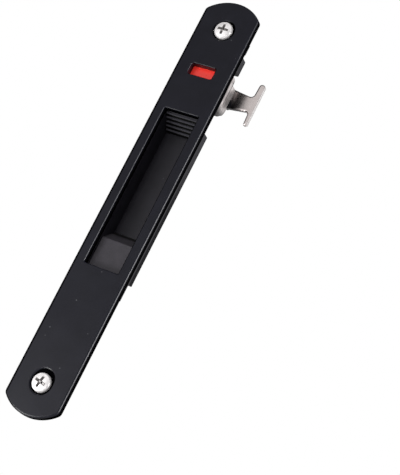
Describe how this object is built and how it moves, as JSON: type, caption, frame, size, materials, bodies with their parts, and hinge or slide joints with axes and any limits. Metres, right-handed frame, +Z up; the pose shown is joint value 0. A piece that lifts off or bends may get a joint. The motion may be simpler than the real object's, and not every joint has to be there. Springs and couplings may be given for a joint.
{
  "type": "sliding door lock",
  "caption": "Flush lock for a sliding door: long arched face plate with a pull cup, a ridged thumb slider, a colour indicator window and a folded steel T hook at the side.",
  "frame": {"origin": "midway between the two fixing screws, on the back of the face plate", "axes": "+Z up the door stile along the plate, +Y into the door, +X towards the hook"},
  "size_m": [0.0355, 0.0183, 0.1888],
  "materials": {
    "plate_black": "satin",
    "case_black": "matte",
    "block_grey": "matte",
    "slider_black": "matte",
    "hook_steel": "satin",
    "rivet_steel": "satin",
    "tile_red": "satin",
    "tile_green": "satin",
    "spring_steel": "satin",
    "screw_nickel": "polished",
    "small_screw_steel": "satin"
  },
  "bodies": {
    "lock_body": {"face_plate": "plate_black", "lock_case": "case_black", "cup_end_block": "block_grey", "detent_spring": "spring_steel", "fixing_screws": "screw_nickel", "case_screws": "small_screw_steel", "block_screw": "small_screw_steel"},
    "slide_carriage": {"thumb_slider": "slider_black", "latch_hook": "hook_steel", "hook_rivets": "rivet_steel", "indicator_red": "tile_red", "indicator_green": "tile_green"}
  },
  "joints": [
    {"name": "latch_slide", "type": "slide", "parent": "lock_body", "child": "slide_carriage", "axis": [0, 0, 1], "range_m": [-0.006, 0], "deforming": ["detent_spring"]}
  ]
}
